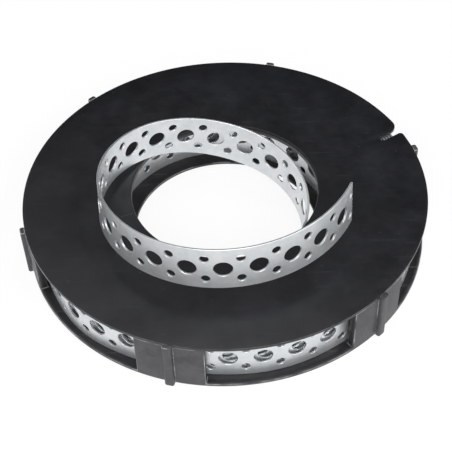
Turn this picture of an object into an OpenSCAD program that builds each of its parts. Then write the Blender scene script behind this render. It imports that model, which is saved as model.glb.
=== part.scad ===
// Perforated steel strap, coiled in a flat round cassette, with its inner end drawn up through the hole

/* [Cassette] */
// Outer radius of both plates
plate_r = 82.5; // [75:0.5:100]
// Radius of the hole in the middle of both plates
hole_r = 38.2; // [36:0.1:42]
// Thickness of each plate
plate_t = 1.2; // [0.8:0.1:2]
// Chamfer on the edges of the plates
plate_edge = 0.3; // [0.1:0.05:0.35]
// Thickness of the wall segments round the rim
wall_t = 3.3; // [1.5:0.1:4]
// Angle that one wall segment covers
wall_sweep = 18.8; // [10:0.2:30]
// Number of wall segments, each with one rib
wall_count = 6; // [3:1:8]
// Angle of the first rib from the x axis
rib_angle = 14; // [0:1:60]
// Width of a rib along the rim
rib_w = 3.7; // [2.5:0.1:5]
// How far a rib stands out of the rim
rib_out = 2; // [1.5:0.1:4]
// Radius on the long edges of a rib
rib_round = 0.8; // [0.3:0.1:1]
// Angle of the mouth of the notch in the rim of the cover
notch_angle = 22.5; // [21:0.5:40]
// How far the notch is turned off the radius
notch_tilt = 10; // [0:1:20]
// Width of the notch
notch_w = 2.6; // [1.5:0.1:4]
// Length of the notch from the rim inwards
notch_l = 10.7; // [8:0.1:14]
// Radius of the corner of the rim on the far side of the notch
notch_round = 5; // [2:0.5:6]
// Radius of the corner of the rim on the side of the wall segment
notch_nose = 1.4; // [0.8:0.1:2]
// Angle by which the wall segment stops short of the notch
notch_clear = 2; // [1.5:0.5:4]

/* [Strap] */
// Width of the strap
strap_w = 20; // [17:0.5:24]
// Thickness of the strap
strap_t = 0.8; // [0.6:0.05:1.1]
// Distance between the large holes along the strap
hole_pitch = 13.1; // [11:0.1:16]
// Diameter of the large holes on the centre line
large_d = 7.2; // [5:0.1:8]
// Diameter of the small holes in pairs between them
small_d = 3.5; // [2.5:0.1:4]
// Distance of a small hole from the centre line
small_off = 5.1; // [4.5:0.1:6]
// Distance from the cut end to the first large hole
first_hole = 8.7; // [7:0.1:12]

/* [Coil] */
// How far the plates reach inwards past the bore of the coil
coil_lip = 7.2; // [5:0.1:9]
// Gap between the outer turn and the wall segments
coil_wall_gap = 0.6; // [0.4:0.1:2]
// Number of turns in the coil
coil_turns = 25; // [18:1:28]
// Depth of the grooves that part the turns on both ends of the coil
turn_groove = 1.5; // [0.5:0.1:3]
// Gap between the coil and the cover
coil_cover_gap = 0.4; // [0.2:0.1:1]
// Angle of the first hole on the outer turn, behind a wall segment
outer_hole_angle = 72; // [60:0.5:90]

/* [Drawn end] */
// Angle at which the strap is cut off, from the x axis
tip_angle = 326.7; // [315:0.1:340]
// How far the loop lies off the middle of the cassette
loop_offset = 13.2; // [12:0.1:15]
// Direction in which the loop lies off the middle
loop_offset_angle = 261.9; // [250:0.1:270]
// How much longer than wide the loop is, on each side
loop_oval = 1.1; // [0:0.1:2]
// Direction of its length
loop_oval_angle = 44; // [0:1:90]
// Height of the lower edge over the cover at the cut end
loop_lift = 11.5; // [9:0.1:14]
// Turn angle from the cut end at which its lower edge passes over the edge of the hole
pass_angle = 176; // [172:1:184]
// Height over the cover at which it passes there
pass_gap = 1.2; // [0.3:0.05:1.5]
// Turn angle from the cut end at which the strap has come down to the coil
foot_angle = 355; // [350:1:365]
// Gap between the strap and the edge of the hole at both of these places
edge_gap = 0.1; // [0.05:0.05:0.4]
// How far the strap leans inwards where it passes over the edge of the hole
lean_max = 6.7; // [0:0.1:8]
// Turn angle from the cut end at which it leans most
lean_angle = 174; // [150:1:185]
// How far it leans inwards at the cut end
tip_lean = 2.5; // [0:0.1:5]
// How far it leans outwards where it passes under the edge of the hole
foot_lean = 5.1; // [0:0.1:8]
// Turn angle from the cut end at which the strap has joined the coil
join_angle = 436; // [425:1:445]

/* [Hidden] */
$fn = 96;
over = 1;

// Heights, counted from the underside of the base
coil_z = plate_t;
cover_z = coil_z + strap_w + coil_cover_gap;
cassette_h = cover_z + plate_t;

// Coil
coil_bore_r = hole_r + coil_lip;
coil_r = plate_r - wall_t - coil_wall_gap;
turn_pitch = (coil_r - coil_bore_r) / coil_turns;
wall_step = 360 / wall_count;
// The first wall segment stops short of the notch
short_end = min(wall_sweep / 2, notch_angle - notch_clear - rib_angle);
rib_clear = 0.15;

// Drawn end: the middle line of the strap as a function of the turn angle f from the cut end
top_mid_z = cassette_h + loop_lift + strap_w / 2;
coil_mid_z = coil_z + strap_w / 2;
foot_rise = 0.15;
foot_mid_z = coil_mid_z + foot_rise;
bend_soft = 40;
foot_soft = 6;
// The strap comes down by this much in one turn, between the two places where it passes the cover
loop_climb = (cassette_h + pass_gap + strap_w / 2 - foot_mid_z) * 360 / (foot_angle - pass_angle);
bend_start = pass_angle - (loop_lift - pass_gap) * 360 / loop_climb;
// Past this turn angle the strap swings out until it has sunk into the inner turn of the coil
swing_start = foot_angle + 7;
// The strap passes under the edge of the hole once it has settled on the level of the coil
foot_pass = foot_angle + 5;
foot_clear = 0.25;
lean_spread = 60;
// The spiral's radius at the cut end and its fall in one turn follow from the radius at these two places
pass_r = hole_r - edge_gap - strap_t / 2 - strap_w / 2 * sin(lean(pass_angle));
foot_r = hole_r - edge_gap - strap_t / 2 - foot_clear + strap_w / 2 * sin(lean(foot_pass));
loop_wind = (pass_r - foot_r - off_r(pass_angle) + off_r(foot_pass)) * 360 / (foot_pass - pass_angle);
loop_r = pass_r + loop_wind * pass_angle / 360 - off_r(pass_angle);
swing = (coil_bore_r + strap_t - bare_r(join_angle)) / pow(join_angle - swing_start, 2);
// The stretch of the bore that is clear of the joined end carries the holes
join_margin = 12;
bore_sweep = 230;
ring_step = 4;
fine_step = 1;

function off_r(f) =
    let (a = tip_angle - f)
        loop_offset * cos(a - loop_offset_angle) + loop_oval * cos(2 * (a - loop_oval_angle));
function bare_r(f) = loop_r - loop_wind * f / 360 + off_r(f);
function path_r(f) = bare_r(f) + swing * pow(max(0, f - swing_start), 2);
function soft_ramp(x, soft) = (x + sqrt(x * x + soft * soft)) / 2;
function path_z(f) =
    top_mid_z - loop_climb / 360 * (soft_ramp(f - bend_start, bend_soft) - soft_ramp(f - foot_angle, foot_soft));
function path(f) = [path_r(f) * cos(tip_angle - f), path_r(f) * sin(tip_angle - f), path_z(f)];
function unit(v) = v / norm(v);
function along(f) = unit(path(f + fine_step / 2) - path(f - fine_step / 2));
function upright(t) = unit([0, 0, 1] - t[2] * t);
function bump(x) = exp(-pow(x / lean_spread, 2));
function lean(f) = tip_lean * bump(f) + lean_max * bump(f - lean_angle) - foot_lean * bump(f - foot_pass);
function across(f) = let (t = along(f), u = upright(t)) u * cos(lean(f)) - cross(u, t) * sin(lean(f));
function outward(f) = cross(across(f), along(f));

// Turn angle at a length along the strap
path_lengths = [
    for (f = 0, s = 0; f <= join_angle; s = s + norm(path(f + fine_step) - path(f)), f = f + fine_step) [s, f]
];
function turn_at(s) = lookup(s, path_lengths);
// The holes stop short of the stretch where the strap meets the coil
pierced_l = lookup(join_angle - 40, [for (p = path_lengths) [p[1], p[0]]]);
end_holes = floor((pierced_l - first_hole) / hole_pitch);

module plate_ring(z) {
    translate([0, 0, z])
        rotate_extrude()
            polygon([
                [hole_r + plate_edge, 0], [plate_r - plate_edge, 0],
                [plate_r, plate_edge], [plate_r, plate_t - plate_edge],
                [plate_r - plate_edge, plate_t], [hole_r + plate_edge, plate_t],
                [hole_r, plate_t - plate_edge], [hole_r, plate_edge]
            ]);
}

// A wall segment from half its sweep before its rib to the given angle behind it
module wall_segment(end) {
    rotate_extrude(angle = wall_sweep / 2 + end, start = -wall_sweep / 2)
        translate([plate_r - wall_t, plate_t / 2])
            square([wall_t, cover_z - plate_t / 2]);
}

module rib() {
    reach = wall_t / 2 + rib_out;
    translate([plate_r - wall_t / 2, 0, 0])
        linear_extrude(cassette_h) {
            translate([0, -rib_w / 2])
                square([reach - rib_round, rib_w]);
            translate([0, -rib_w / 2 + rib_round])
                square([reach, rib_w - 2 * rib_round]);
            for (side = [-1, 1])
                translate([reach - rib_round, side * (rib_w / 2 - rib_round)])
                    circle(rib_round);
        }
}

module cassette_base() {
    color("#26272a")
        difference() {
            union() {
                plate_ring(0);
                for (i = [0 : wall_count - 1])
                    rotate([0, 0, rib_angle + i * wall_step]) {
                        wall_segment(i == 0 ? short_end : wall_sweep / 2);
                        rib();
                    }
            }
            translate([0, 0, cover_z])
                cylinder(r = plate_r + rib_clear, h = plate_t + over);
        }
}

// What a round corner between the rim and one side of the notch takes away, seen from the mouth of the notch
module notch_corner(side, r) {
    middle = plate_r * [-cos(notch_tilt), sin(notch_tilt)];
    y = side * (notch_w / 2 + r);
    x = middle[0] + sqrt(pow(plate_r - r, 2) - pow(y - middle[1], 2));
    to_rim = unit([x, y] - middle);
    difference() {
        linear_extrude(plate_t + 2 * over)
            polygon([[x, y], [x, 0], [notch_w, 0], [x, y] + (r + notch_w) * to_rim]);
        translate([x, y, -over])
            cylinder(r = r, h = plate_t + 4 * over);
    }
}

module notch() {
    linear_extrude(plate_t + 2 * over) {
        translate([notch_w / 2 - notch_l, 0])
            circle(d = notch_w);
        translate([notch_w / 2 - notch_l, -notch_w / 2])
            square([notch_l, notch_w]);
    }
    notch_corner(1, notch_round);
    notch_corner(-1, notch_nose);
}

module cassette_cover() {
    color("#26272a")
        difference() {
            plate_ring(cover_z);
            translate([0, 0, cover_z - over])
                rotate([0, 0, notch_angle])
                    translate([plate_r, 0, 0])
                        rotate([0, 0, notch_tilt])
                            notch();
        }
}

// One row of holes, drilled from radius r inwards or outwards by the depth of one turn
module turn_holes(r, first_angle, sweep, inside) {
    step = hole_pitch / r * 180 / PI;
    start = inside ? r - over : r - turn_pitch;
    depth = turn_pitch + over;
    for (i = [0 : floor(sweep / step) - 1]) {
        rotate([0, 0, first_angle + i * step])
            translate([start, 0, coil_mid_z])
                rotate([0, 90, 0])
                    cylinder(d = large_d, h = depth);
        for (side = [-1, 1])
            rotate([0, 0, first_angle + (i + 0.5) * step])
                translate([start, 0, coil_mid_z + side * small_off])
                    rotate([0, 90, 0])
                        cylinder(d = small_d, h = depth);
    }
}

module coil() {
    difference() {
        rotate_extrude() {
            translate([coil_bore_r, coil_z + turn_groove])
                square([coil_r - coil_bore_r, strap_w - 2 * turn_groove]);
            for (i = [0 : coil_turns - 1])
                translate([coil_bore_r + (i + 0.5) * turn_pitch - strap_t / 2, coil_z])
                    square([strap_t, strap_w]);
        }
        turn_holes(coil_r, outer_hole_angle, 360, false);
        turn_holes(coil_bore_r, tip_angle - join_angle - join_margin - bore_sweep, bore_sweep, true);
    }
}

// A solid of the strap's section swept along the path
module ribbon(f_end) {
    count = ceil(f_end / ring_step);
    corners = [
        for (i = [0 : count])
            let (f = i * f_end / count, c = path(f), u = across(f) * strap_w / 2, o = outward(f) * strap_t / 2)
                each [c - u + o, c + u + o, c + u - o, c - u - o]
    ];
    sides = [
        for (i = [0 : count - 1], j = [0 : 3])
            let (a = 4 * i + j, b = 4 * i + (j + 1) % 4)
                each [[a, a + 4, b], [b, a + 4, b + 4]]
    ];
    last = 4 * count;
    ends = [[0, 1, 2], [0, 2, 3], [last, last + 2, last + 1], [last, last + 3, last + 2]];
    polyhedron(corners, concat(sides, ends));
}

// A hole through the strap at a length along it and an offset across it
module strap_hole(s, offset, d) {
    f = turn_at(s);
    t = along(f);
    u = across(f);
    o = outward(f);
    c = path(f) + u * offset;
    multmatrix([
        [t[0], u[0], -o[0], c[0]],
        [t[1], u[1], -o[1], c[1]],
        [t[2], u[2], -o[2], c[2]],
        [0, 0, 0, 1]
    ])
        cylinder(d = d, h = 4 * strap_t, center = true);
}

module drawn_end() {
    difference() {
        ribbon(join_angle);
        for (i = [0 : end_holes]) {
            strap_hole(first_hole + i * hole_pitch, 0, large_d);
            for (side = [-1, 1])
                strap_hole(first_hole + (i - 0.5) * hole_pitch, side * small_off, small_d);
        }
    }
}

module strap() {
    color("#c3c8cc") {
        coil();
        drawn_end();
    }
}

cassette_base();
cassette_cover();
strap();
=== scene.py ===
import bpy
import math
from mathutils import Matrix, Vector


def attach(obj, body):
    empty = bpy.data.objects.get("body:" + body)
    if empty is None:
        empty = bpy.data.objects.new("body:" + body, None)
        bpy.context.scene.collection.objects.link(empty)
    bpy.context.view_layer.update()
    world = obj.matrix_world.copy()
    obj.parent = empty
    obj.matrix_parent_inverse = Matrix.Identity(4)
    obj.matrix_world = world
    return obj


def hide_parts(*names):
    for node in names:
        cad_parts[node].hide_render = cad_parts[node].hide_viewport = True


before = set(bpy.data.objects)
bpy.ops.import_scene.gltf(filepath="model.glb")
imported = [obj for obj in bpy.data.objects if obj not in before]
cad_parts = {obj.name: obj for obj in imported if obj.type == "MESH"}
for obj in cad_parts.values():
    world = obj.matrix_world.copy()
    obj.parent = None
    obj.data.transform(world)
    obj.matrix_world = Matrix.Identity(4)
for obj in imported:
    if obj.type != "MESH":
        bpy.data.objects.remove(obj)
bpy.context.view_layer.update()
print("frame loaded:", sorted(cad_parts))

# tolerances for picking by place, in metres, and by normal, as a cosine
exact = 1e-6
close = 2e-5
facing = 0.9


# hand tools: each works on one piece and leaves it in object mode, apart from the two that pick

def workOn(piece):
    if bpy.context.object and bpy.context.object.mode != "OBJECT":
        bpy.ops.object.mode_set(mode="OBJECT")
    bpy.ops.object.select_all(action="DESELECT")
    piece.select_set(True)
    bpy.context.view_layer.objects.active = piece


def startPick(piece, kind):
    workOn(piece)
    bpy.ops.object.mode_set(mode="EDIT")
    bpy.ops.mesh.select_mode(type=kind)
    bpy.ops.mesh.select_all(action="DESELECT")
    bpy.ops.object.mode_set(mode="OBJECT")


def pickFaces(piece, test):
    startPick(piece, "FACE")
    for face in piece.data.polygons:
        face.select = test(face.center, face.normal)
    bpy.ops.object.mode_set(mode="EDIT")


def pickEdges(piece, test):
    startPick(piece, "EDGE")
    points = piece.data.vertices
    for edge in piece.data.edges:
        first, second = edge.vertices
        edge.select = test(points[first].co, points[second].co)
    bpy.ops.object.mode_set(mode="EDIT")


def drawPicked(move):
    bpy.ops.mesh.extrude_region_move(TRANSFORM_OT_translate={"value": tuple(move)})
    bpy.ops.object.mode_set(mode="OBJECT")


def roundPicked(width, segments):
    bpy.ops.mesh.bevel(offset=width, segments=segments, affect="EDGES")
    bpy.ops.object.mode_set(mode="OBJECT")


def bakeModifier(piece, kind, **settings):
    workOn(piece)
    modifier = piece.modifiers.new(kind.lower(), kind)
    for name, value in settings.items():
        setattr(modifier, name, value)
    bpy.ops.object.modifier_apply(modifier=modifier.name)


def bakePlace(piece):
    workOn(piece)
    bpy.ops.object.transform_apply(location=True, rotation=True, scale=True)


def newBlock(size, place):
    bpy.ops.object.select_all(action="DESELECT")
    bpy.ops.mesh.primitive_cube_add(size=1, location=place)
    block = bpy.context.object
    block.scale = size
    bakePlace(block)
    return block


def newPost(radius, sides, depth, place, turn=(0, 0, 0)):
    bpy.ops.object.select_all(action="DESELECT")
    bpy.ops.mesh.primitive_cylinder_add(vertices=sides, radius=radius, depth=depth,
                                        location=place, rotation=turn)
    post = bpy.context.object
    bakePlace(post)
    return post


def cutAway(piece, cutter):
    bakeModifier(piece, "BOOLEAN", object=cutter, operation="DIFFERENCE", solver="EXACT")
    bpy.data.objects.remove(cutter)


def cleanNormals(piece, mergeDistance=exact):
    workOn(piece)
    bpy.ops.object.mode_set(mode="EDIT")
    bpy.ops.mesh.select_all(action="SELECT")
    bpy.ops.mesh.remove_doubles(threshold=mergeDistance)
    bpy.ops.mesh.normals_make_consistent(inside=False)
    bpy.ops.object.mode_set(mode="OBJECT")


def smoothByAngle(piece, degrees):
    workOn(piece)
    bpy.ops.object.shade_smooth_by_angle(angle=math.radians(degrees))


def dress(piece, finishes):
    for finish in finishes:
        piece.data.materials.append(finish)


def turnOf(point):
    return math.degrees(math.atan2(point.y, point.x))


def angleGap(first, second):
    return abs((first - second + 180) % 360 - 180)


# what the two mouldings of the cassette share

moulding = {
    "edgeRound": 0.0003,
    "edgeSegments": 2,
    "cornerSegments": 4,
    "sharpAngle": 35,
    "smoothAngle": 40,
}


def plateRing(name, radii, divisions, firstAngle, low, thickness):
    # flat ring with edge loops at the given radii, its first corner at firstAngle
    bpy.ops.object.select_all(action="DESELECT")
    bpy.ops.mesh.primitive_circle_add(
        vertices=divisions, radius=radii[0], fill_type="NOTHING",
        location=(0, 0, low), rotation=(0, 0, math.radians(firstAngle - 90)))
    ring = bpy.context.object
    ring.name = name
    bakePlace(ring)
    bpy.ops.object.mode_set(mode="EDIT")
    bpy.ops.mesh.select_mode(type="EDGE")
    bpy.ops.mesh.select_all(action="SELECT")
    for inner, outer in zip(radii, radii[1:]):
        bpy.ops.mesh.extrude_region()
        bpy.ops.transform.resize(value=(outer / inner, outer / inner, 1), center_override=(0, 0, low))
    bpy.ops.mesh.select_all(action="SELECT")
    bpy.ops.mesh.normals_make_consistent(inside=False)
    bpy.ops.object.mode_set(mode="OBJECT")
    facesUp = ring.data.polygons[0].normal.z > 0
    bakeModifier(ring, "SOLIDIFY", thickness=thickness, offset=1 if facesUp else -1, use_even_offset=True)
    cleanNormals(ring)
    return ring


def finishMoulding(piece, finishes):
    # the second finish, with its painted highlight, goes on the rounded edges
    dress(piece, finishes)
    bakeModifier(piece, "BEVEL", width=moulding["edgeRound"], segments=moulding["edgeSegments"],
                 limit_method="ANGLE", angle_limit=math.radians(moulding["sharpAngle"]), material=1)
    smoothByAngle(piece, moulding["smoothAngle"])
    print(piece.name, "made:", len(piece.data.polygons), "faces")


# base of the cassette: plate, six wall segments, a rib on each

base = {
    "rimRadius": 0.0825,
    "holeRadius": 0.0382,
    "plate": 0.0012,
    "wall": 0.0033,
    "wallHalf": 9.4,  # degrees
    "shortFaces": 5,  # the wall beside the notch ends this many faces past its rib
    "wallTop": 0.0216,
    "ribReach": 0.0020,
    "ribRound": 0.0008,
    "pickMargin": 0.0003,
    "divisions": 282,
    "walls": 6,
    "firstRib": 14.0,
}


def cutThroughAxis(piece, degrees):
    turn = math.radians(degrees)
    workOn(piece)
    bpy.ops.object.mode_set(mode="EDIT")
    bpy.ops.mesh.select_all(action="SELECT")
    bpy.ops.mesh.bisect(plane_co=(0, 0, 0), plane_no=(-math.sin(turn), math.cos(turn), 0))
    bpy.ops.object.mode_set(mode="OBJECT")


def makeBase(finishes):
    step = 360 / base["divisions"]
    rim = base["rimRadius"]
    innerWall = rim - base["wall"]
    ribAngles = [base["firstRib"] + i * 360 / base["walls"] for i in range(base["walls"])]
    piece = plateRing("cassetteBase", [base["holeRadius"], innerWall, rim],
                      base["divisions"], base["firstRib"], 0, base["plate"])

    # a cut through the axis marks wall ends on both sides of the plate
    for angle in ribAngles[:base["walls"] // 2]:
        cutThroughAxis(piece, angle - base["wallHalf"])
        cutThroughAxis(piece, angle + base["wallHalf"])

    def inWall(point):
        for angle in ribAngles:
            past = (turnOf(point) - angle + 180) % 360 - 180
            end = base["shortFaces"] * step if angle == base["firstRib"] else base["wallHalf"]
            if -base["wallHalf"] < past < end:
                return True
        return False

    # wall segments drawn up from the outer band of the plate, the first one short of the notch
    pickFaces(piece, lambda c, n: n.z > facing and c.to_2d().length > innerWall and inWall(c))
    drawPicked((0, 0, base["wallTop"] - base["plate"]))

    # ribs drawn out of the wall, two faces wide, from the floor up
    for angle in ribAngles:
        outward = Vector((math.cos(math.radians(angle)), math.sin(math.radians(angle)), 0))
        pickFaces(piece, lambda c, n: n.dot(outward) > facing and angleGap(turnOf(c), angle) < step
                  and c.to_2d().length > rim - base["pickMargin"])
        drawPicked(outward * base["ribReach"])

    # the ribs end level with the top of the cover, which is as thick as the base plate
    pickFaces(piece, lambda c, n: n.z > facing and c.to_2d().length > rim + base["pickMargin"])
    drawPicked((0, 0, base["plate"]))
    cleanNormals(piece)

    def ribCorner(first, second):
        upright = (first - second).to_2d().length < exact
        farOut = first.to_2d().length > rim + base["ribReach"] / 2
        offMiddle = min(angleGap(turnOf(first), angle) for angle in ribAngles) > step / 2
        return upright and farOut and offMiddle

    pickEdges(piece, ribCorner)
    roundPicked(base["ribRound"], moulding["cornerSegments"])
    finishMoulding(piece, finishes)
    return piece


# cover of the cassette: plate with a hole and a notch in its rim

cover = {
    "rimRadius": base["rimRadius"],
    "holeRadius": base["holeRadius"],
    "low": base["wallTop"],
    "plate": base["plate"],
    "middleLoop": 0.062,
    "divisions": 318,
    "firstCorner": 0.5,  # degrees past the notch
    "notchAngle": 22.5,
    "notchTilt": 10.0,
    "notchWidth": 0.0026,
    "notchLength": 0.0107,
    "farCorner": 0.0050,
    "nearCorner": 0.0014,
    "slotSides": 32,
    "cornerSides": 96,
    "cutPast": 0.004,
    "cutDepth": 0.0048,
    "lipWidth": 0.0010,
    "lipDrop": 0.0014,
    "lipGap": (285.0, 340.0),
    "mouthRound": 0.0008,
}


def notchSlot():
    # slot cutter with a round inner end, x outwards from the mouth
    half = cover["notchWidth"] / 2
    slot = newPost(half, cover["slotSides"], cover["cutDepth"], (half - cover["notchLength"], 0, 0))
    pickFaces(slot, lambda c, n: n.x > 0 and abs(n.z) < facing)
    drawPicked((cover["notchLength"] + cover["cutPast"], 0, 0))
    cleanNormals(slot)
    return slot


def notchCorner(side, radius):
    # what a round corner beside the mouth takes away: a block less a post that touches rim and slot
    tilt = math.radians(cover["notchTilt"])
    middle = Vector((-math.cos(tilt), math.sin(tilt))) * cover["rimRadius"]
    across = side * (cover["notchWidth"] / 2 + radius)
    along = middle.x + math.sqrt((cover["rimRadius"] - radius) ** 2 - (across - middle.y) ** 2)
    centre = Vector((along, across))
    touch = middle + (centre - middle).normalized() * cover["rimRadius"]
    far = cover["cutPast"]
    block = newBlock((far - along, abs(touch.y), cover["cutDepth"]), ((along + far) / 2, touch.y / 2, 0))
    cutAway(block, newPost(radius, cover["cornerSides"], 2 * cover["cutDepth"], (*centre, 0)))
    return block


def makeCover(finishes):
    hole = cover["holeRadius"]
    top = cover["low"] + cover["plate"]
    lipRadius = hole + cover["lipWidth"]
    lowGap, highGap = cover["lipGap"]
    radii = [hole, lipRadius, cover["middleLoop"], cover["rimRadius"]]
    firstAngle = cover["notchAngle"] + cover["firstCorner"]
    piece = plateRing("cassetteCover", radii, cover["divisions"], firstAngle, cover["low"], cover["plate"])

    # lip turned down around the hole, left out where the strap dives under it
    def inLip(centre):
        return centre.to_2d().length < lipRadius and not lowGap < turnOf(centre) % 360 < highGap

    pickFaces(piece, lambda c, n: n.z < -facing and inLip(c))
    drawPicked((0, 0, -cover["lipDrop"]))

    def onMouth(point):
        return point.to_2d().length < hole + close and point.z > top - close

    pickEdges(piece, lambda a, b: onMouth(a) and onMouth(b))
    roundPicked(cover["mouthRound"], moulding["cornerSegments"])
    mouth = math.radians(cover["notchAngle"])
    for cutter in (notchSlot(), notchCorner(1, cover["farCorner"]), notchCorner(-1, cover["nearCorner"])):
        cutter.rotation_euler = (0, 0, mouth + math.radians(cover["notchTilt"]))
        cutter.location = (cover["rimRadius"] * math.cos(mouth), cover["rimRadius"] * math.sin(mouth),
                           cover["low"] + cover["plate"] / 2)
        bakePlace(cutter)
        cutAway(piece, cutter)
    cleanNormals(piece, close)
    finishMoulding(piece, finishes)
    return piece


# strap: one pitch of it is punched flat, repeated, and laid along its line

strap = {
    "width": 0.020,
    "thickness": 0.0008,
    "pitch": 0.0131,
    "largeHole": 0.0036,
    "largeSides": 28,
    "smallHole": 0.00175,
    "smallSides": 16,
    "smallOffset": 0.0051,
    "firstHole": 0.0087,
    "punchDepth": 0.0032,
    "slices": 9,
    "rimRound": 0.00011,
    "edgeRound": 0.00012,
    "smoothAngle": 30,
    "turns": 24.827,
    "boreRadius": 0.0460,
    "outerRadius": 0.0786,
    "coilHeight": 0.0113,
    "detailedInner": 72,
    "detailedOuter": 152,
    "plainStep": 0.00655,
    "joinMerge": 2e-6,
}

# line of the strap, in degrees of turn from the cut end
# cutAngle, offsetAngle, ovalAngle and the bulges are angles round the axis instead
line = {
    "cutAngle": 326.7,
    "offset": 0.0132,
    "offsetAngle": 261.9,
    "oval": 0.0011,
    "ovalAngle": 44.0,
    "lift": 0.0115,
    "passAngle": 176.0,
    "passGap": 0.0012,
    "footAngle": 355.0,
    "footRise": 0.00005,
    "footPast": 5.0,
    "footClear": 0.00025,
    "edgeGap": 0.0001,
    "bendSoft": 40.0,
    "footSoft": 6.0,
    "swingPast": 7.0,
    "joinAngle": 436.0,
    "slack": 0.0032,
    "slackAngle": 650.0,
    "slackSpread": 75.0,
    "bulges": ((224.0, 0.0023), (284.0, 0.0010)),  # place round the axis and height
    "bulgeSpread": 14.0,
    "bulgeTurns": 3.0,
    "cutLean": 2.5,
    "passLean": 6.7,
    "passLeanAngle": 174.0,
    "footLean": 5.1,
    "leanSpread": 60.0,
    "endStep": 2.0,
    "stepsPerTurn": 120,
}


def softRamp(x, soft):
    return (x + math.sqrt(x * x + soft * soft)) / 2


def bell(x, spread):
    return math.exp(-(x / spread) ** 2)


def lineLean(turn):
    # inwards at the cut end and over the edge of the hole, outwards where the strap dives under it
    leans = ((line["cutLean"], 0), (line["passLean"], line["passLeanAngle"]),
             (-line["footLean"], line["footAngle"] + line["footPast"]))
    return sum(math.radians(most) * bell(turn - angle, line["leanSpread"]) for most, angle in leans)


def loopShift(turn):
    angle = line["cutAngle"] - turn
    offset = line["offset"] * math.cos(math.radians(angle - line["offsetAngle"]))
    return offset + line["oval"] * math.cos(math.radians(2 * (angle - line["ovalAngle"])))


def tieLine():
    # radius and fall follow from the two places where the strap passes the edge of the cover's hole
    half = strap["width"] / 2
    coverTop = cover["low"] + cover["plate"]
    passAngle = line["passAngle"]
    footPass = line["footAngle"] + line["footPast"]
    footHeight = strap["coilHeight"] + line["footRise"]
    line["topHeight"] = coverTop + line["lift"] + half
    line["climb"] = (coverTop + line["passGap"] + half - footHeight) * 360 / (line["footAngle"] - passAngle)
    line["bendStart"] = passAngle - (line["lift"] - line["passGap"]) * 360 / line["climb"]
    line["swingStart"] = line["footAngle"] + line["swingPast"]
    nearEdge = cover["holeRadius"] - line["edgeGap"] - strap["thickness"] / 2
    passRadius = nearEdge - half * math.sin(lineLean(passAngle))
    footRadius = nearEdge - line["footClear"] + half * math.sin(lineLean(footPass))
    fall = passRadius - footRadius - loopShift(passAngle) + loopShift(footPass)
    line["windIn"] = fall * 360 / (footPass - passAngle)
    line["startRadius"] = passRadius + line["windIn"] * passAngle / 360 - loopShift(passAngle)


tieLine()


def bareRadius(turn):
    return line["startRadius"] - line["windIn"] * turn / 360 + loopShift(turn)


def windowBulge(turn):
    # the outer turns spring out between the wall segments, the outermost one furthest
    turnsLeft = line["joinAngle"] / 360 + strap["turns"] - turn / 360
    share = max(0, 1 - turnsLeft / line["bulgeTurns"])
    angle = line["cutAngle"] - turn
    return share * sum(most * bell(angleGap(angle, middle), line["bulgeSpread"])
                       for middle, most in line["bulges"])


def linePoint(turn):
    join = line["joinAngle"]
    if turn <= join:
        swing = (strap["boreRadius"] - bareRadius(join)) / (join - line["swingStart"]) ** 2
        radius = bareRadius(turn) + swing * max(0, turn - line["swingStart"]) ** 2
    else:
        growth = (strap["outerRadius"] - strap["boreRadius"]) / (360 * strap["turns"])
        # the inner turn lies slack, a little away from the next
        slack = line["slack"] * bell(turn - line["slackAngle"], line["slackSpread"])
        radius = strap["boreRadius"] + growth * (turn - join) - slack + windowBulge(turn)
    fall = softRamp(turn - line["bendStart"], line["bendSoft"])
    fall -= softRamp(turn - line["footAngle"], line["footSoft"])
    height = max(line["topHeight"] - line["climb"] / 360 * fall, strap["coilHeight"])
    angle = math.radians(line["cutAngle"] - turn)
    return Vector((radius * math.cos(angle), radius * math.sin(angle), height))


def plainBlank(length):
    # x along the strap, z across it
    return newBlock((length, strap["thickness"], strap["width"]), (length / 2, 0, 0))


def roundSlitEdges(blank):
    def longEdge(first, second):
        atEdge = min(abs(first.z), abs(second.z)) > strap["width"] / 2 - exact
        return atEdge and abs(first.y - second.y) < exact and abs(first.x - second.x) > close

    pickEdges(blank, longEdge)
    roundPicked(strap["edgeRound"], 1)


def openEnds(blank, length):
    pickFaces(blank, lambda c, n: abs(n.x) > facing and (c.x < exact or c.x > length - exact))
    bpy.ops.mesh.delete(type="FACE")
    bpy.ops.object.mode_set(mode="OBJECT")


def sliceAcross(blank, length, slices):
    workOn(blank)
    bpy.ops.object.mode_set(mode="EDIT")
    for i in range(1, slices):
        bpy.ops.mesh.select_all(action="SELECT")
        bpy.ops.mesh.bisect(plane_co=(i * length / slices, 0, 0), plane_no=(1, 0, 0))
    bpy.ops.object.mode_set(mode="OBJECT")


def repeatAlong(blank, count, step):
    bakeModifier(blank, "ARRAY", count=count, use_relative_offset=False, use_constant_offset=True,
                 constant_offset_displace=(step, 0, 0), use_merge_vertices=True, merge_threshold=exact)


def punchedPitch():
    blank = plainBlank(strap["pitch"])
    pairAlong = strap["firstHole"] - strap["pitch"] / 2
    holes = [(strap["firstHole"], 0, strap["largeHole"], strap["largeSides"])]
    for side in (-1, 1):
        holes.append((pairAlong, side * strap["smallOffset"], strap["smallHole"], strap["smallSides"]))
    for along, across, radius, sides in holes:
        cutAway(blank, newPost(radius, sides, strap["punchDepth"], (along, 0, across), (math.pi / 2, 0, 0)))

    # rolled-over rims of the holes
    def onRim(first, second):
        onFace = abs(abs(first.y) - strap["thickness"] / 2) < exact and abs(first.y - second.y) < exact
        if not onFace:
            return False
        for along, across, radius, sides in holes:
            middle = Vector((along, first.y, across))
            if all(abs((point - middle).length - radius) < close for point in (first, second)):
                return True
        return False

    pickEdges(blank, onRim)
    roundPicked(strap["rimRound"], 1)
    roundSlitEdges(blank)
    openEnds(blank, strap["pitch"])
    sliceAcross(blank, strap["pitch"], strap["slices"])
    return blank


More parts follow.
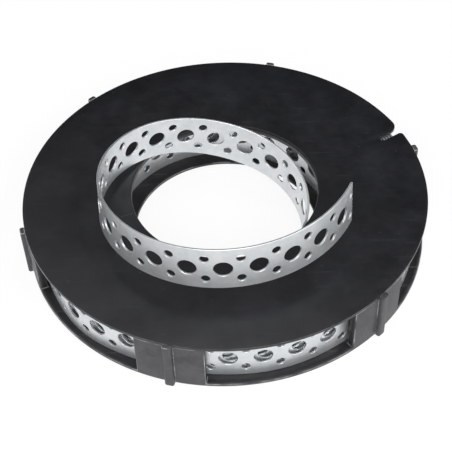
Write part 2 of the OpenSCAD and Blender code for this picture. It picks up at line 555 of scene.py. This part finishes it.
def plainLength(length):
    # hidden turns: the same section without holes
    blank = plainBlank(strap["plainStep"])
    roundSlitEdges(blank)
    openEnds(blank, strap["plainStep"])
    repeatAlong(blank, round(length / strap["plainStep"]), strap["plainStep"])
    return blank


def copyOf(piece):
    workOn(piece)
    bpy.ops.object.duplicate()
    return bpy.context.object


def strapLine():
    # helper curve along the middle of the strap
    join = line["joinAngle"]
    coilTurn = 360 * strap["turns"]
    coilSteps = int(strap["turns"] * line["stepsPerTurn"])
    turns = [line["endStep"] * i for i in range(int(join / line["endStep"]))]
    turns += [join + coilTurn * i / coilSteps for i in range(coilSteps + 1)]
    shape = bpy.data.curves.new("strapLine", "CURVE")
    shape.dimensions = "3D"
    shape.twist_mode = "Z_UP"
    run = shape.splines.new("POLY")
    run.points.add(len(turns) - 1)
    length = 0
    before = None
    for point, turn in zip(run.points, turns):
        place = linePoint(turn)
        point.co = (*place, 1)
        point.tilt = lineLean(turn)
        if before:
            length += (place - before).length
        before = place
    guide = bpy.data.objects.new("strapLine", shape)
    bpy.context.scene.collection.objects.link(guide)
    return guide, length


def closeEnds(piece):
    workOn(piece)
    bpy.ops.object.mode_set(mode="EDIT")
    bpy.ops.mesh.select_mode(type="EDGE")
    bpy.ops.mesh.select_all(action="DESELECT")
    bpy.ops.mesh.select_non_manifold(extend=False, use_wire=False, use_multi_face=False,
                                     use_non_contiguous=False, use_verts=False)
    bpy.ops.mesh.edge_face_add()
    bpy.ops.object.mode_set(mode="OBJECT")


def keepFlatLayout(piece):
    # the flat strap's own map, for finishes that follow it
    flatMap = piece.data.uv_layers.new(name="flatLayout")
    points = piece.data.vertices
    for corner, spot in zip(piece.data.loops, flatMap.data):
        place = points[corner.vertex_index].co
        spot.uv = (place.x, place.z)


def makeStrap(finishes):
    guide, length = strapLine()
    pitch = strap["pitch"]
    innerCells = strap["detailedInner"]
    outerCells = strap["detailedOuter"]
    plainCells = int(length / pitch) - innerCells - outerCells
    piece = punchedPitch()
    outerEnd = copyOf(piece)
    repeatAlong(piece, innerCells, pitch)
    repeatAlong(outerEnd, outerCells, pitch)
    middle = plainLength(plainCells * pitch)
    middle.location.x = innerCells * pitch
    bakePlace(middle)
    outerEnd.location.x = (innerCells + plainCells) * pitch
    bakePlace(outerEnd)
    workOn(piece)
    middle.select_set(True)
    outerEnd.select_set(True)
    bpy.ops.object.join()
    piece.name = "perforatedStrap"
    cleanNormals(piece, strap["joinMerge"])
    closeEnds(piece)
    keepFlatLayout(piece)
    bakeModifier(piece, "CURVE", object=guide, deform_axis="POS_X")
    bpy.data.objects.remove(guide)
    smoothByAngle(piece, strap["smoothAngle"])
    dress(piece, finishes)
    print(piece.name, "made:", len(piece.data.polygons), "faces,", round(length, 2), "m")
    return piece


# node tools for the finishes

def addNode(tree, kind, values=None, links=None, **settings):
    # settings are the node's own, values and links go to its inputs
    node = tree.nodes.new(kind)
    for name, setting in settings.items():
        setattr(node, name, setting)
    for name, value in (values or {}).items():
        node.inputs[name].default_value = value
    for name, source in (links or {}).items():
        tree.links.new(source, node.inputs[name])
    return node


def newGroup(name, inputs, outputs):
    group = bpy.data.node_groups.new(name, "ShaderNodeTree")
    for label, kind, value in inputs:
        socket = group.interface.new_socket(name=label, in_out="INPUT", socket_type=kind)
        if value is not None:
            socket.default_value = value
    for label, kind in outputs:
        group.interface.new_socket(name=label, in_out="OUTPUT", socket_type=kind)
    start = group.nodes.new("NodeGroupInput")
    end = group.nodes.new("NodeGroupOutput")
    return group, start, end


def newMaterial(name):
    material = bpy.data.materials.new(name)
    material.use_nodes = True
    tree = material.node_tree
    return material, tree, tree.nodes["Principled BSDF"]


def objectPlace(tree):
    return addNode(tree, "ShaderNodeTexCoord").outputs["Object"]


def ramp(tree, source, low, high, fromLow=0.0, fromHigh=1.0):
    node = addNode(tree, "ShaderNodeMapRange",
                   {"From Min": fromLow, "From Max": fromHigh, "To Min": low, "To Max": high},
                   {"Value": source})
    return node.outputs["Result"]


def multiply(tree, first, second):
    node = addNode(tree, "ShaderNodeMath", operation="MULTIPLY")
    for socket, value in zip(node.inputs, (first, second)):
        if isinstance(value, float):
            socket.default_value = value
        else:
            tree.links.new(value, socket)
    return node.outputs[0]


def greater(tree, first, second):
    node = addNode(tree, "ShaderNodeMath", links={0: first, 1: second}, operation="MAXIMUM")
    return node.outputs[0]


def mixColour(tree, share, first, second):
    node = addNode(tree, "ShaderNodeMix", links={"Factor": share}, data_type="RGBA")
    sockets = [socket for socket in node.inputs if socket.type == "RGBA"]
    for socket, value in zip(sockets, (first, second)):
        if isinstance(value, tuple):
            socket.default_value = value
        else:
            tree.links.new(value, socket)
    return next(socket for socket in node.outputs if socket.type == "RGBA")


def addBump(tree, source, strength, height):
    bump = addNode(tree, "ShaderNodeBump", {"Strength": strength, "Distance": height}, {"Height": source})
    return bump.outputs["Normal"]


# wear that several finishes use, and on the moulding edges the spread of a painted highlight

scuffLook = {
    "cloudScale": 60.0,
    "cloudDetail": 5.0,
    "cloudRough": 0.6,
    "scratchScale": 300.0,
    "scratchTurn": (0, 0, 0.6),
    "scratchStretch": (0.08, 1.0, 1.0),
    "scratchDetail": 3.0,
    "scratchBand": (0.62, 0.74),
}


def scuffGroup():
    # fine scratches and cloudy rubbed patches, on object coordinates; on the moulding edges the clouds place
    # a painted highlight
    group, start, end = newGroup(
        "rubbedSurfaceAndEdgeSheen",
        [("Vector", "NodeSocketVector", None), ("Cloud Scale", "NodeSocketFloat", scuffLook["cloudScale"]),
         ("Scratch Scale", "NodeSocketFloat", scuffLook["scratchScale"])],
        [("Cloud", "NodeSocketFloat"), ("Scratch", "NodeSocketFloat")])
    place = start.outputs["Vector"]
    cloud = addNode(group, "ShaderNodeTexNoise",
                    {"Detail": scuffLook["cloudDetail"], "Roughness": scuffLook["cloudRough"]},
                    {"Vector": place, "Scale": start.outputs["Cloud Scale"]})
    spread = addNode(group, "ShaderNodeMapping",
                     {"Rotation": scuffLook["scratchTurn"], "Scale": scuffLook["scratchStretch"]},
                     {"Vector": place})
    streak = addNode(group, "ShaderNodeTexNoise", {"Detail": scuffLook["scratchDetail"]},
                     {"Vector": spread.outputs["Vector"], "Scale": start.outputs["Scratch Scale"]})
    scratch = ramp(group, streak.outputs["Fac"], 0.0, 1.0, *scuffLook["scratchBand"])
    group.links.new(cloud.outputs["Fac"], end.inputs["Cloud"])
    group.links.new(scratch, end.inputs["Scratch"])
    return group


speckLook = {
    "scale": 200.0,
    "dotBand": (0.06, 0.16),
    "chosenBand": (0.80, 0.95),
}


def speckGroup():
    # sparse grains of dust, each a small dot in its own cell
    group, start, end = newGroup(
        "dustSpecks",
        [("Vector", "NodeSocketVector", None), ("Scale", "NodeSocketFloat", speckLook["scale"])],
        [("Speck", "NodeSocketFloat")])
    cells = addNode(group, "ShaderNodeTexVoronoi",
                    links={"Vector": start.outputs["Vector"], "Scale": start.outputs["Scale"]}, feature="F1")
    parts = addNode(group, "ShaderNodeSeparateColor", links={"Color": cells.outputs["Color"]})
    dot = ramp(group, cells.outputs["Distance"], 1.0, 0.0, *speckLook["dotBand"])
    chosen = ramp(group, parts.outputs["Red"], 0.0, 1.0, *speckLook["chosenBand"])
    group.links.new(multiply(group, dot, chosen), end.inputs["Speck"])
    return group


# plastics of the cassette

plasticLook = {
    "ior": 1.49,
    "cloudScale": 55.0,
    "cloudBand": (0.38, 0.66),
    "scratchScale": 700.0,
    "blotchScale": 190.0,
    "blotchBand": (0.36, 0.64),
    "speckScale": 330.0,
    "speckShare": 0.7,
    "rimGreyBand": (0.0812, 0.0822),  # from the axis
    "rimGreyLeast": 0.45,
    "grainScale": 1400.0,
    "grainHeight": 0.00002,
    "grainStrength": 0.25,
}

coverLook = {
    "name": "blackCoverPlastic",
    "dark": (0.0118, 0.0124, 0.0147, 1),
    "light": (0.0212, 0.0220, 0.0255, 1),
    "dust": (0.052, 0.055, 0.065, 1),
    "scratchShare": 0.30,
    "rimGrey": (0.030, 0.030, 0.031, 1),
    "rimGreyShare": 0.3,
    "rough": (0.28, 0.42),
    "seamAngle": 199.0,
    "seamAcross": (0.000096, 0.000224),
    "seamBegins": (0.0381, 0.0383),
    "seamFades": (0.0440, 0.0460),
    "seamColour": (0.060, 0.060, 0.062, 1),
}

baseLook = {
    "name": "blackBasePlastic",
    "dark": (0.0090, 0.0090, 0.0100, 1),
    "light": (0.0170, 0.0170, 0.0180, 1),
    "dust": (0.110, 0.110, 0.116, 1),
    "scratchShare": 0.55,
    "rimGrey": (0.084, 0.083, 0.091, 1),
    "rimGreyShare": 1.0,
    "rough": (0.38, 0.55),
}

# tones of the rounded moulding edges: the light one is a painted highlight
edgeHighlightLook = {
    "dark": (0.040, 0.040, 0.042, 1),
    "light": (0.400, 0.400, 0.410, 1),
    "cloudScale": 120.0,
    "cloudBand": (0.40, 0.68),
    "rough": (0.28, 0.40),
    "roughBand": (0.3, 0.7),
}


def axisRadius(tree, place):
    flat = addNode(tree, "ShaderNodeVectorMath", {1: (1, 1, 0)}, {0: place}, operation="MULTIPLY")
    length = addNode(tree, "ShaderNodeVectorMath", links={0: flat.outputs["Vector"]}, operation="LENGTH")
    return length.outputs["Value"]


def seamMask(tree, place, look):
    # short pale line beside the hole: thin across, fading out along
    turned = addNode(tree, "ShaderNodeMapping", {"Rotation": (0, 0, -math.radians(look["seamAngle"]))},
                     {"Vector": place})
    parts = addNode(tree, "ShaderNodeSeparateXYZ", links={"Vector": turned.outputs["Vector"]})
    across = addNode(tree, "ShaderNodeMath", links={0: parts.outputs["Y"]}, operation="ABSOLUTE")
    thin = ramp(tree, across.outputs[0], 1.0, 0.0, *look["seamAcross"])
    begun = ramp(tree, parts.outputs["X"], 0.0, 1.0, *look["seamBegins"])
    ended = ramp(tree, parts.outputs["X"], 1.0, 0.0, *look["seamFades"])
    return multiply(tree, thin, multiply(tree, begun, ended))


def blackPlastic(look, scuffs, specks):
    material, tree, shader = newMaterial(look["name"])
    shader.inputs["IOR"].default_value = plasticLook["ior"]
    place = objectPlace(tree)
    rubbed = addNode(tree, "ShaderNodeGroup",
                     {"Cloud Scale": plasticLook["cloudScale"], "Scratch Scale": plasticLook["scratchScale"]},
                     {"Vector": place}, node_tree=scuffs)
    blotchy = addNode(tree, "ShaderNodeGroup", {"Cloud Scale": plasticLook["blotchScale"]},
                      {"Vector": place}, node_tree=scuffs)
    dusty = addNode(tree, "ShaderNodeGroup", {"Scale": plasticLook["speckScale"]},
                    {"Vector": place}, node_tree=specks)
    clouds = ramp(tree, rubbed.outputs["Cloud"], 0.0, 1.0, *plasticLook["cloudBand"])
    blotches = ramp(tree, blotchy.outputs["Cloud"], 0.0, 1.0, *plasticLook["blotchBand"])
    scratches = ramp(tree, rubbed.outputs["Scratch"], 0.0, look["scratchShare"])
    dust = multiply(tree, dusty.outputs["Speck"], plasticLook["speckShare"])
    # the outside of the rim, with the walls and ribs of the base, is painted a lighter grey, stronger in some
    # blotches than in others
    rim = ramp(tree, axisRadius(tree, place), 0.0, look["rimGreyShare"], *plasticLook["rimGreyBand"])
    greyed = multiply(tree, rim, ramp(tree, blotches, plasticLook["rimGreyLeast"], 1.0))
    body = mixColour(tree, clouds, look["dark"], look["light"])
    body = mixColour(tree, greyed, body, look["rimGrey"])
    body = mixColour(tree, scratches, body, look["dust"])
    body = mixColour(tree, dust, body, look["dust"])
    if "seamAngle" in look:
        body = mixColour(tree, seamMask(tree, place, look), body, look["seamColour"])
    tree.links.new(body, shader.inputs["Base Color"])
    tree.links.new(ramp(tree, blotches, *look["rough"]), shader.inputs["Roughness"])
    grain = addNode(tree, "ShaderNodeTexNoise", {"Scale": plasticLook["grainScale"]}, {"Vector": place})
    normal = addBump(tree, grain.outputs["Fac"], plasticLook["grainStrength"], plasticLook["grainHeight"])
    tree.links.new(normal, shader.inputs["Normal"])
    return material


def edgeWithPaintedHighlight(scuffs):
    # rounded edges of the mouldings, with a painted highlight: pale grey in patches along the edge, dark
    # between
    material, tree, shader = newMaterial("plasticEdgePaintedHighlight")
    rubbed = addNode(tree, "ShaderNodeGroup", {"Cloud Scale": edgeHighlightLook["cloudScale"]},
                     {"Vector": objectPlace(tree)}, node_tree=scuffs)
    cloud = rubbed.outputs["Cloud"]
    # the pale patches are a painted highlight, spread at random along the edges
    patches = ramp(tree, cloud, 0.0, 1.0, *edgeHighlightLook["cloudBand"])
    colour = mixColour(tree, patches, edgeHighlightLook["dark"], edgeHighlightLook["light"])
    tree.links.new(colour, shader.inputs["Base Color"])
    roughness = ramp(tree, cloud, *edgeHighlightLook["rough"], *edgeHighlightLook["roughBand"])
    tree.links.new(roughness, shader.inputs["Roughness"])
    return material


# zinc-coated steel of the strap

steelLook = {
    "dull": (0.685, 0.72, 0.745, 1),
    "bright": (0.84, 0.85, 0.86, 1),
    "metal": 0.78,
    "cloudScale": 160.0,
    "cloudBand": (0.3, 0.7),
    "rough": (0.30, 0.40),
    "rollScale": 900.0,
    "rollStretch": (0.12, 1.0, 1.0),
    "rollDetail": 4.0,
    "rollBand": (0.3, 0.7),
    "rollStrength": 0.25,
    "rollHeight": 0.000006,
}


def galvanisedSteel(scuffs):
    material, tree, shader = newMaterial("galvanisedSteel")
    shader.inputs["Metallic"].default_value = steelLook["metal"]
    rubbed = addNode(tree, "ShaderNodeGroup", {"Cloud Scale": steelLook["cloudScale"]},
                     {"Vector": objectPlace(tree)}, node_tree=scuffs)
    clouds = ramp(tree, rubbed.outputs["Cloud"], 0.0, 1.0, *steelLook["cloudBand"])
    colour = mixColour(tree, clouds, steelLook["dull"], steelLook["bright"])
    tree.links.new(colour, shader.inputs["Base Color"])
    # faint rolling marks along the strap
    flat = addNode(tree, "ShaderNodeUVMap", uv_map="flatLayout")
    stretch = addNode(tree, "ShaderNodeMapping", {"Scale": steelLook["rollStretch"]},
                      {"Vector": flat.outputs["UV"]})
    rolled = addNode(tree, "ShaderNodeTexNoise",
                     {"Scale": steelLook["rollScale"], "Detail": steelLook["rollDetail"]},
                     {"Vector": stretch.outputs["Vector"]})
    marks = rolled.outputs["Fac"]
    roughness = ramp(tree, marks, *steelLook["rough"], *steelLook["rollBand"])
    tree.links.new(roughness, shader.inputs["Roughness"])
    normal = addBump(tree, marks, steelLook["rollStrength"], steelLook["rollHeight"])
    tree.links.new(normal, shader.inputs["Normal"])
    return material


# floor, lights and camera

stageLook = {
    "floorSize": 8.0,
    "floorDrop": 0.0001,
    "floorColour": (0.80, 0.80, 0.80, 1),
    "floorRough": 0.8,
    "floorGlow": 1.09,
    "glowShare": 0.80,
    "worldColour": (0.95, 0.97, 1.0, 1),
    "worldStrength": 0.02,
}


def whiteForCamera(tree, surface):
    # seen directly and in reflections the floor is white, and it keeps some of the shadow
    path = addNode(tree, "ShaderNodeLightPath")
    seen = greater(tree, path.outputs["Is Camera Ray"], path.outputs["Is Glossy Ray"])
    seen = greater(tree, seen, path.outputs["Is Transmission Ray"])
    share = multiply(tree, seen, stageLook["glowShare"])
    white = addNode(tree, "ShaderNodeEmission", {"Strength": stageLook["floorGlow"]})
    mix = addNode(tree, "ShaderNodeMixShader", links={0: share, 1: surface, 2: white.outputs["Emission"]})
    tree.links.new(mix.outputs[0], tree.nodes["Material Output"].inputs["Surface"])


def makeStage():
    bpy.ops.object.select_all(action="DESELECT")
    bpy.ops.mesh.primitive_plane_add(size=stageLook["floorSize"], location=(0, 0, -stageLook["floorDrop"]))
    floor = bpy.context.object
    floor.name = "floor"
    material, tree, shader = newMaterial("paleFloor")
    shader.inputs["Base Color"].default_value = stageLook["floorColour"]
    shader.inputs["Roughness"].default_value = stageLook["floorRough"]
    whiteForCamera(tree, shader.outputs["BSDF"])
    dress(floor, [material])
    world = bpy.data.worlds.new("studio")
    bpy.context.scene.world = world
    world.use_nodes = True
    sky = world.node_tree.nodes["Background"]
    sky.inputs["Color"].default_value = stageLook["worldColour"]
    sky.inputs["Strength"].default_value = stageLook["worldStrength"]
    print("stage made")


lamps = [
    {"name": "front", "place": (0.0, -1.00, 0.75), "size": 1.00, "power": 9.0},
    {"name": "frontLeft", "place": (-0.85, -0.68, 0.75), "size": 1.00, "power": 3.2},
    {"name": "frontRight", "place": (0.90, -0.50, 0.75), "size": 1.00, "power": 6.0},
    {"name": "highBack", "place": (0.0, 0.50, 1.20), "size": 1.00, "power": 0.6},
    {"name": "highLeft", "place": (-0.90, 0.10, 0.80), "size": 0.90, "power": 2.0},
    {"name": "highRight", "place": (0.90, 0.10, 0.80), "size": 0.90, "power": 1.6},
    {"name": "backLeft", "place": (-0.60, 0.60, 0.90), "size": 0.90, "power": 0.7},
    {"name": "overhead", "place": (0.0, 0.0, 1.30), "size": 0.80, "power": 2.0},
]


def makeLamps():
    for lamp in lamps:
        bpy.ops.object.light_add(type="AREA", location=lamp["place"])
        light = bpy.context.object
        light.name = lamp["name"]
        light.data.shape = "DISK"
        light.data.size = lamp["size"]
        light.data.energy = lamp["power"]
        light.rotation_euler = (-Vector(lamp["place"])).to_track_quat("-Z", "Y").to_euler()
    print("lamps made:", len(lamps))


viewer = {
    "place": (0.0, -0.3161, 0.3335),
    "pitchDown": 46.54,
    "roll": -2.05,
    "lens": 86.07,
    "sensor": 36,
    "clipStart": 0.01,
}


def makeCamera():
    bpy.ops.object.camera_add(location=viewer["place"])
    camera = bpy.context.object
    camera.rotation_mode = "ZYX"
    camera.rotation_euler = (math.radians(90 - viewer["pitchDown"]), 0, math.radians(viewer["roll"]))
    camera.data.sensor_width = viewer["sensor"]
    camera.data.lens = viewer["lens"]
    camera.data.clip_start = viewer["clipStart"]
    bpy.context.scene.camera = camera


bpy.context.scene.view_settings.view_transform = "Standard"
makeCamera()
makeStage()
makeLamps()
scuffs = scuffGroup()
specks = speckGroup()
edge = edgeWithPaintedHighlight(scuffs)
pieces = (
    (makeBase([blackPlastic(baseLook, scuffs, specks), edge]), "plastic", "cassette_base"),
    (makeCover([blackPlastic(coverLook, scuffs, specks), edge]), "plastic", "cassette_cover"),
    (makeStrap([galvanisedSteel(scuffs)]), "steel", "strap"),
)
for piece, slotName, node in pieces:
    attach(piece, "root")
    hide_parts(node)
